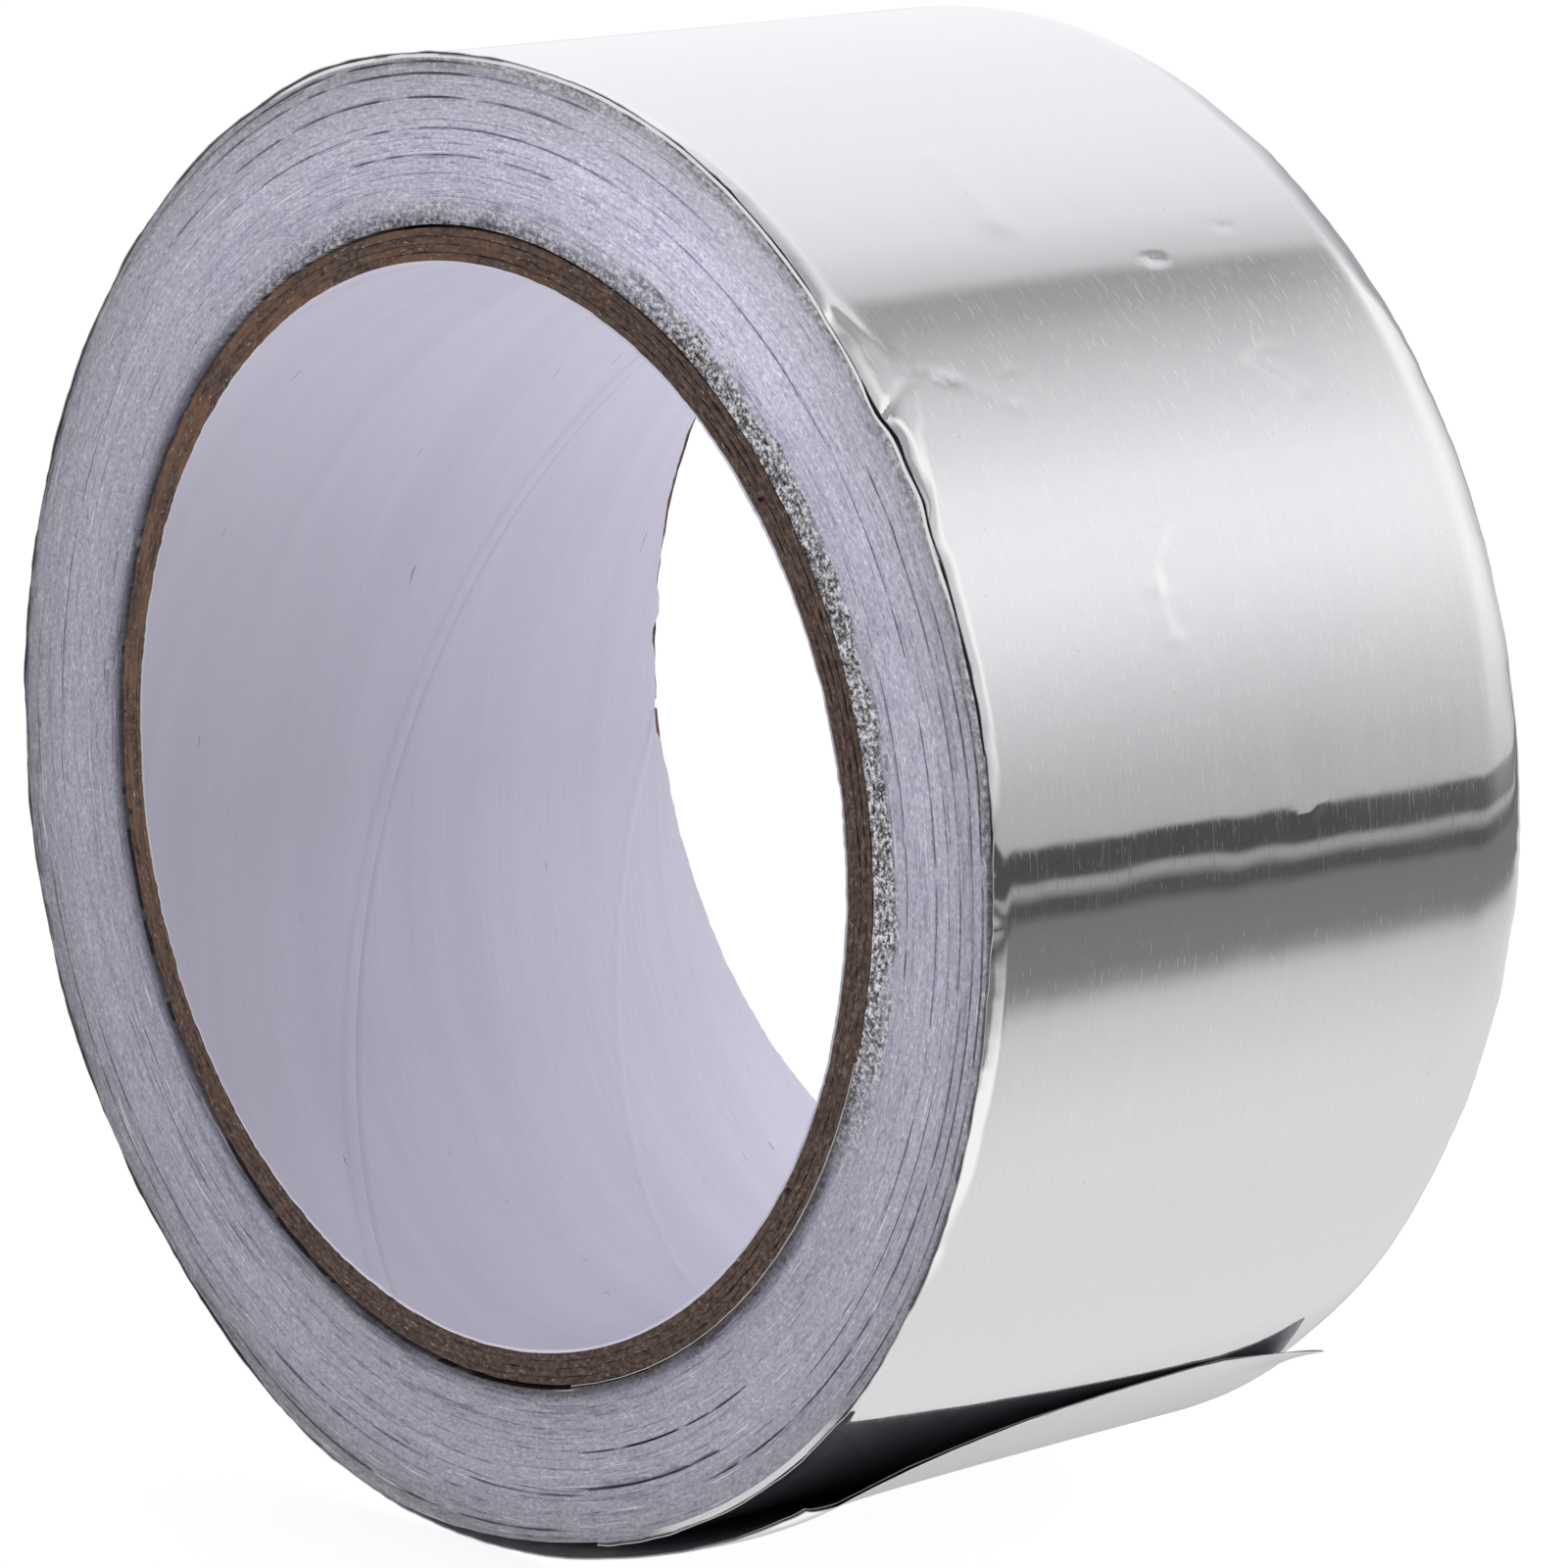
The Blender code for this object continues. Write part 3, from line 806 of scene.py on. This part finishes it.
def wound_group(name, low, high, seed):
    """A ring of turns: each has its own edge height, with fine grooves between and a few open gaps."""
    outermost = high == PACK_RADII[-1]
    turns = np.arange(0, TURNS_PER_GROUP + 0.01, 0.5)
    angle = np.linspace(LIFT_ANGLE, LAST_TURN_END, TURNS_ANGLES)
    turn, theta = np.meshgrid(turns, angle, indexing="ij")
    wound = turn + (theta - LIFT_ANGLE) / 360
    ridge = (turn % 1) > 0.25
    mean_pitch = (high - low) / (TURNS_PER_GROUP + 1)
    grids, shades = [], []
    for side, shift in ((-1, 0), (1, 7)):
        top = pack_edge(theta, side) if outermost else high
        radius = low + (top - low) / (TURNS_PER_GROUP + 1) * wound
        radius[-1] = (top - low + np.zeros(theta.shape))[-1] + low
        if low > PACK_RADII[0]:
            radius[0] = low
        run = wound * 360
        height = 0.020 * wander(run / 1.3 + shift, seed + shift)
        height = height + 0.035 * wander(run / 11 + shift, seed + 1 + shift)
        dip = 0.05 + 0.04 * wander(run / 2.1 + 33, seed + 2 + shift)
        relief = np.where(ridge, height, height - dip)
        gap = np.zeros(relief.shape)
        for gap_radius, start, length in GAPS if side < 0 else ():
            turned = start - LIFT_ANGLE
            begin = round((gap_radius - low) / mean_pitch - turned / 360) * 360 + turned
            broken = np.clip(0.75 + 0.9 * wander(run / 2.2 + gap_radius * 7, 77), 0, 1)
            gap = np.maximum(gap, broken * window(run, begin, begin + length, 8) * ~ridge)
        gap = gap * (1 - 0.6 * window(theta, 50, 290, 20))
        relief = relief - GAP_DEPTH * gap
        if outermost and side < 0:
            # Negative values mark the outermost turns' edges, which get a painted highlight.
            gap[-2:] = -window(angle, 22, 114, 10)
            gap[-4:] = np.minimum(gap[-4:], -0.8 * window(angle, -69, -44, 8))
        shades.append(gap)
        grids.append(polar(radius, theta, side * (HALF_WIDTH - TURNS_INSET + relief)))
    near, far = grids
    walls, count = [], len(angle)
    if outermost:
        under = smooth_table(angle, *zip(*BODY)) - UNDER_GAP
        under = np.minimum(under, BODY[0][1] - START_GAP + 1.0 * (1 - window(angle, 262, 300, 10)))
        walls = [polar(under, angle, y)[None] for y in (-WALL_PLACE, WALL_PLACE)]
        shades.insert(1, np.zeros((2, count)))
    rows = len(turns)
    points = np.concatenate([near, *walls, far[::-1]])
    body = grid_faces(len(points), count, wrap_rows=True)
    r = np.arange(rows - 1)
    opposite = len(points) - 1 - r
    caps = []
    for column in (0, count - 1):
        quad = np.stack([r, r + 1, opposite - 1, opposite], axis=-1) * count + column
        caps.append(quad if column else quad[:, ::-1])
    if outermost:
        for column in (0, count - 1):
            quad = np.array([[rows - 1, rows, rows + 1, rows + 2]]) * count + column
            caps.append(quad if column else quad[:, ::-1])
    faces = np.concatenate([body, *caps])
    edge = MATERIALS["wound_edge"]
    made = add_piece(name + "_piece", points, faces, edge, [name], TURNS_SHARP)
    shade = made.data.attributes.new("gap_shade_and_glint", "FLOAT", "POINT")
    shade.data.foreach_set("value", np.concatenate([*shades[:-1], shades[-1][::-1]]).ravel())
    if outermost:
        made.data.materials.append(MATERIALS["foil"])
        wall = slice((rows - 1) * (count - 1), (rows + 2) * (count - 1))
        slots = np.zeros(len(made.data.polygons), dtype=int)
        slots[wall] = 1
        made.data.polygons.foreach_set("material_index", slots)
    return made


for i, (group, seed) in enumerate((("inner", 100), ("middle", 200), ("outer", 300))):
    made = wound_group("wound_turns_" + group, PACK_RADII[i], PACK_RADII[i + 1], seed)
    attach(made, "roll")


# ---------------------------------------------------------------- the core
# The plies: how many, the gap between them, how far their ends stay inside the width, the points
# round each, and the seam's half angle and depth. The number of knots closes each noise round a turn.
PLY_COUNT = 4
PLY_GAP = 0.03
PLY_INSET = 0.03
PLY_ANGLES = 900
SEAM_HALF_ANGLE = 0.35
SEAM_DEPTH = 0.5
FRAY_KNOTS = 50
WALL_KNOTS = 190


def ply(index, low, high):
    """One board ply: rough fibrous ends and plain walls, with its butt seam open at each end."""
    angle = np.linspace(0, 360, PLY_ANGLES, endpoint=False)
    across = np.linspace(0, 1, 6)
    share, theta = np.meshgrid(across, angle, indexing="ij")
    arc = np.radians(theta) * BOARD_RADIUS
    seam = SEAM_ANGLE + PLY_SEAM_STEP * (index + 1)
    ends = []
    for side, seed in ((-1, 400 + index), (1, 450 + index)):
        fray = 0.06 * wander2(arc / 0.9 + 5, share * 2 + 3, seed)
        fray = fray + 0.03 * wander(arc / 5, seed + 9, FRAY_KNOTS)
        shape = -0.05 * (2 * share - 1) ** 2 + fray - 0.03 * index
        swing = 0 if side < 0 else 360 * 2 * HALF_WIDTH / SEAM_LEAD
        off_seam = np.abs((theta - seam + swing + 180) % 360 - 180)
        shape = shape - SEAM_DEPTH * (off_seam < SEAM_HALF_ANGLE)
        radius = low + (high - low) * share + 0.02 * wander(arc / 1.3, seed + 20, WALL_KNOTS)
        ends.append(polar(radius, theta, side * (HALF_WIDTH - PLY_INSET + shape)))
    points = np.concatenate([ends[0], ends[1][::-1]])
    faces = grid_faces(2 * len(across), len(angle), wrap_rows=True, wrap_cols=True)
    name = f"core_ply_{index + 1}"
    board = MATERIALS["core_board"]
    return add_piece(name + "_board", points, faces, board, [name], PLY_SHARP)


PLY_LOW, PLY_HIGH = BORE_RADIUS + LINING_THICKNESS + 0.01, 40.6
PLY_STEP = (PLY_HIGH - PLY_LOW) / PLY_COUNT
for i in range(PLY_COUNT):
    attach(ply(i, PLY_LOW + PLY_STEP * i, PLY_LOW + PLY_STEP * (i + 1) - PLY_GAP), "roll")


# The lining's ghost of the seam under it: its place, the length of a degree, and its half width.
GHOST_SEAM = 74
BORE_DEGREE = 0.665
GHOST_WIDTH = 0.6


def lining():
    """The paper lining: one helical strip whose edge laps over its start."""
    turn = np.linspace(0, LINING_TURN, 620)
    place = np.linspace(-HALF_WIDTH, HALF_WIDTH, 41)
    u, y = np.meshgrid(turn, place, indexing="ij")
    theta = SEAM_ANGLE - 360 * (y + HALF_WIDTH) / SEAM_LEAD + u
    arc = np.radians(theta) * BORE_RADIUS
    lap = np.clip((u - 358.5) / 1.2, 0, 1)
    ghost = np.exp(-(((u - GHOST_SEAM) * BORE_DEGREE / GHOST_WIDTH) ** 2))
    inner = BORE_RADIUS + 0.04 * wander2(arc / 9 + 50, y / 13 + 50, 501) - 0.09 * lap - 0.04 * ghost
    outer = BORE_RADIUS + LINING_THICKNESS - 0.06 * lap
    inner = inner - 0.02 * np.clip(2 - u, 0, 1)
    ragged = 0.05 * wander(u / 1.7 + 9, 502) + 0.05 * wander(u / 0.6 + 9, 503)
    lean = np.clip((np.abs(y) - HALF_WIDTH + 1.3) / 1.3, 0, 1)
    bitten = np.clip(wander(arc / 2.2 + 70, 504) + 0.5, 0, 1)
    torn = 0.55 * window(theta % 360, 150, 196, 6) * (y > 0) * bitten
    y_now = y + np.sign(y) * lean * (ragged - 0.02 - torn)
    top = polar(inner, theta, y_now)
    bottom = polar(outer, theta, y_now)
    paper = MATERIALS["core_lining"]
    made = sheet("core_lining_strip", top, bottom, paper, ["core_lining_paper"])
    across = np.radians(u) * BORE_RADIUS * math.sin(LINING_SLOPE)
    along = y / math.sin(LINING_SLOPE) + across / math.tan(LINING_SLOPE)
    flat = np.stack([across, along], axis=-1).reshape(-1, 2)
    flat = np.concatenate([flat, flat])
    layer_made = made.data.uv_layers.new(name="millimetres")
    corners = np.zeros(len(made.data.loops), dtype=int)
    made.data.loops.foreach_get("vertex_index", corners)
    layer_made.data.foreach_set("uv", flat[corners].ravel())
    return made


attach(lining(), "roll")

start_patch = frame["nodes"]["start_adhesive"]
start_patch.data.materials.clear()
start_patch.data.materials.append(MATERIALS["adhesive"])


# ---------------------------------------------------------------- floor, light and camera
FLOOR_HALF_SIZE = 6.0
FLOOR_GLOW = 0.77


def floor():
    """A plain pale floor that glows a little, so that it renders white, and that mirrors don't show."""
    mesh = bpy.data.meshes.new("floor")
    size = FLOOR_HALF_SIZE
    corners = [(-size, -size, 0), (size, -size, 0), (size, size, 0), (-size, size, 0)]
    mesh.from_pydata(corners, [], [(0, 1, 2, 3)])
    made, tree, shader = material("pale_floor")
    shader.inputs["Base Color"].default_value = (0.5, 0.5, 0.5, 1)
    shader.inputs["Roughness"].default_value = 0.9
    shader.inputs["Specular IOR Level"].default_value = 0.0
    shader.inputs["Emission Color"].default_value = (1, 1, 1, 1)
    shader.inputs["Emission Strength"].default_value = FLOOR_GLOW
    mesh.materials.append(made)
    plane = bpy.data.objects.new("floor", mesh)
    bpy.context.scene.collection.objects.link(plane)
    plane.visible_glossy = False


# The room as the foil mirrors it, fitted band by band: direction about the Y axis in degrees, and
# brightness. A colour ramp holds 32 stops at most, so it is in two parts that meet at ROOM_SPLIT.
ROOM = (
    (-180, 0.93), (-173, 0.80), (-166, 0.45), (-135, 0.60), (-111, 0.74), (-75, 0.72), (-63, 0.73),
    (-51, 0.70), (-39, 0.62), (-36.5, 0.60), (-33.5, 0.54), (-31.5, 0.41), (-29.8, 0.27), (-27.5, 0.20),
    (-18.6, 0.18), (-17.5, 0.085), (-14.9, 0.08), (-14.1, 0.33), (-12.5, 0.33), (-11.9, 0.07),
    (-7.1, 0.07), (-6.5, 0.43), (1, 0.46), (9, 0.55), (17, 0.66), (25, 0.78), (33, 0.86), (41, 0.88),
    (49, 0.85),
)
ROOM_TOP = (
    (49, 0.85), (58, 0.73), (67, 0.61), (75.5, 0.46), (79.5, 0.37), (83.7, 0.34), (85.1, 0.42),
    (86.7, 0.57), (90, 0.65), (96, 0.76), (105, 0.83), (117, 0.88), (129, 0.90), (141, 0.92),
    (153, 0.94), (165, 0.95), (180, 0.95),
)
ROOM_SPLIT = 49
# The room is a little warmer below this direction than above it.
COOL_FROM = -4


def turn_share(degrees):
    """A direction about the Y axis as a share of the turn from -180 to 180 degrees."""
    return (degrees + 180) / 360


def world():
    """A studio whose brightness goes by direction: bands about the Y axis, and tones along it."""
    made = bpy.data.worlds.new("studio")
    made.use_nodes = True
    bpy.context.scene.world = made
    tree = made.node_tree
    tree.nodes.clear()
    way = node(tree, "TexCoord").outputs["Generated"]
    parts = node(tree, "SeparateXYZ", links={0: way})
    turn = math_node(tree, "ARCTAN2", parts.outputs[2], parts.outputs[0])
    share = math_node(tree, "MULTIPLY_ADD", turn, 1 / (2 * math.pi), 0.5)
    split = turn_share(ROOM_SPLIT)

    def stops(rows, low, high):
        """The rows as ramp stops between two shares of the turn."""
        return tuple(
            ((turn_share(a) - low) / (high - low), (v, v * 0.99, v * (1.0 if a < COOL_FROM else 1.025)))
            for a, v in rows
        )

    lower = ramp(tree, spread(tree, share, 0, split), stops(ROOM, 0, split))
    upper = ramp(tree, spread(tree, share, split, 1), stops(ROOM_TOP, split, 1))
    tone = mix(tree, math_node(tree, "GREATER_THAN", share, split), lower, upper)
    side = parts.outputs[1]
    # Towards the near side the room is dim, but less so in mirrors.
    path = node(tree, "LightPath").outputs
    dim = math_node(tree, "MULTIPLY_ADD", path["Is Glossy Ray"], -0.75, 1.0)
    dim = times(tree, dim, spread(tree, side, 0.0, -0.35, 0.0, 0.88))
    tone = mix(tree, dim, tone, (0.12, 0.12, 0.13))
    # A pale floor low down on the far side.
    below = times(tree, spread(tree, side, 0.60, 0.48), spread(tree, side, 0.0, 0.1))
    floorward = spread(tree, share, turn_share(-15), turn_share(-35))
    tone = mix(tree, times(tree, below, floorward), tone, (0.95, 0.95, 0.95))
    # A bright panel on the far side, which the foil's turned-down edges mirror, and grey above it.
    rising = spread(tree, share, turn_share(-20), turn_share(34))
    bright = times(tree, rising, spread(tree, share, turn_share(96), turn_share(84)))
    white = mix(tree, spread(tree, side, 0.83, 0.93), (0.96, 0.96, 0.96), (0.62, 0.62, 0.64))
    tone = mix(tree, times(tree, spread(tree, side, 0.705, 0.78), bright), tone, white)
    top = times(tree, spread(tree, side, 0.75, 0.87), spread(tree, share, turn_share(84), turn_share(96)))
    tone = mix(tree, top, tone, (0.38, 0.38, 0.40))
    tone = mix(tree, path["Is Camera Ray"], tone, (1.0, 1.0, 1.0))
    back = node(tree, "Background", {"Strength": 1.0}, {"Color": tone})
    node(tree, "OutputWorld", links={"Surface": back.outputs[0]})


def soft_light(name, place, target, size, power):
    """A square area light at a place in metres, turned to a target, that the foil doesn't mirror."""
    lamp = bpy.data.lights.new(name, "AREA")
    lamp.size = size
    lamp.energy = power
    holder = bpy.data.objects.new(name, lamp)
    holder.location = place
    holder.rotation_euler = (Vector(target) - Vector(place)).to_track_quat("-Z", "Y").to_euler()
    holder.visible_glossy = False
    bpy.context.scene.collection.objects.link(holder)


CAMERA_AZIMUTH = 48.03
CAMERA_ELEVATION = 11.33
CAMERA_LENS = 183.99
SENSOR_WIDTH = 36.0
# From the roll's axis to the camera: back along the view, to the right and up, in mm.
CAMERA_OFFSET = (573.9, 2.84, -1.465)


def camera():
    """The camera, aimed past the roll's axis."""
    azimuth, elevation = math.radians(CAMERA_AZIMUTH), math.radians(CAMERA_ELEVATION)
    back = Vector((math.sin(azimuth) * math.cos(elevation), -math.cos(azimuth) * math.cos(elevation),
                   math.sin(elevation)))
    right = Vector((math.cos(azimuth), math.sin(azimuth), 0))
    up = back.cross(right)
    data = bpy.data.cameras.new("camera")
    data.lens = CAMERA_LENS
    data.sensor_width = SENSOR_WIDTH
    holder = bpy.data.objects.new("camera", data)
    centre = Vector((AXIS_X, 0, AXIS_Z))
    away, across, above = CAMERA_OFFSET
    holder.location = centre + (back * away + right * across + up * above) * MM
    holder.rotation_euler = (-back).to_track_quat("-Z", "Y").to_euler()
    bpy.context.scene.collection.objects.link(holder)
    bpy.context.scene.camera = holder


floor()
world()
soft_light("key", (0.05, -0.60, 0.12), (0, 0, 0.05), 0.35, 1.1)
soft_light("back", (0.01, 0.14, 0.075), (0, 0, 0.05), 0.1, 0.10)
camera()
bpy.context.scene.view_settings.view_transform = "Standard"
